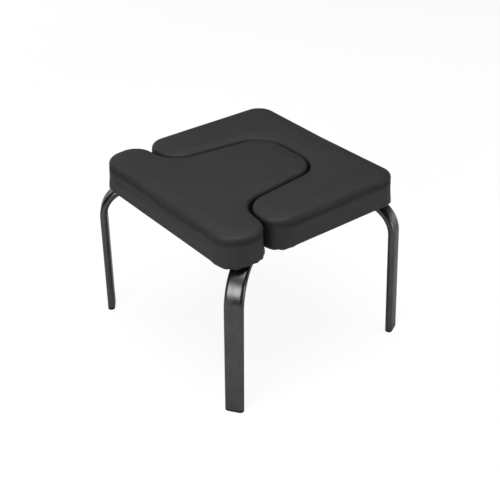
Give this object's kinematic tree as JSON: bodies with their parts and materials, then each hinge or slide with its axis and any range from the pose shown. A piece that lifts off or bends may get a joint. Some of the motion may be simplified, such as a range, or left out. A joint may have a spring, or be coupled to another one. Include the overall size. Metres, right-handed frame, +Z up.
{
  "type": "yoga headstand stool",
  "caption": "Low square stool with a C-shaped pad, a lift-off T-shaped pad filling its neck space, and splayed bent flat-oval tube legs.",
  "frame": {"origin": "on the floor, at the centre of the stool's bounding box", "axes": "+Z up; +X to the right of someone facing the bar of the T pad from the front; +Y from the bar towards the closed back of the C pad"},
  "size_m": [0.4436, 0.4226, 0.347],
  "materials": {
    "tube_paint": "satin",
    "foot_plastic": "matte",
    "cover_leather": "matte",
    "foam": "matte",
    "plywood": "matte",
    "lining": "matte",
    "zinc": "satin"
  },
  "bodies": {
    "frame_and_c_pad": {"front_right_leg": "tube_paint", "front_left_leg": "tube_paint", "back_right_leg": "tube_paint", "back_left_leg": "tube_paint", "hub_plate": "tube_paint", "front_right_foot_cap": "foot_plastic", "front_left_foot_cap": "foot_plastic", "back_right_foot_cap": "foot_plastic", "back_left_foot_cap": "foot_plastic", "c_pad_cover": "cover_leather", "c_pad_foam": "foam", "c_pad_board": "plywood", "c_pad_lining": "lining", "c_pad_tee_nut_corner_right": "zinc", "c_pad_tee_nut_corner_left": "zinc", "c_pad_tee_nut_back_right": "zinc", "c_pad_tee_nut_back_left": "zinc", "c_pad_screw_front_right": "zinc", "c_pad_screw_front_left": "zinc", "c_pad_bolt_corner_right": "zinc", "c_pad_bolt_corner_left": "zinc", "c_pad_bolt_back_right": "zinc", "c_pad_bolt_back_left": "zinc", "c_pad_washer_corner_right": "zinc", "c_pad_washer_corner_left": "zinc", "c_pad_washer_back_right": "zinc", "c_pad_washer_back_left": "zinc"},
    "t_pad": {"t_pad_cover": "cover_leather", "t_pad_foam": "foam", "t_pad_board": "plywood", "t_pad_lining": "lining", "t_pad_tee_nut_bar_right": "zinc", "t_pad_tee_nut_bar_left": "zinc", "t_pad_tee_nut_tongue_right": "zinc", "t_pad_tee_nut_tongue_left": "zinc", "t_pad_stud_bar_right": "zinc", "t_pad_stud_bar_left": "zinc", "t_pad_stud_tongue_right": "zinc", "t_pad_stud_tongue_left": "zinc"}
  },
  "joints": [
    {"name": "t_pad_lift", "type": "slide", "parent": "frame_and_c_pad", "child": "t_pad", "axis": [0, 0, 1], "range_m": [0, 0.12]}
  ]
}
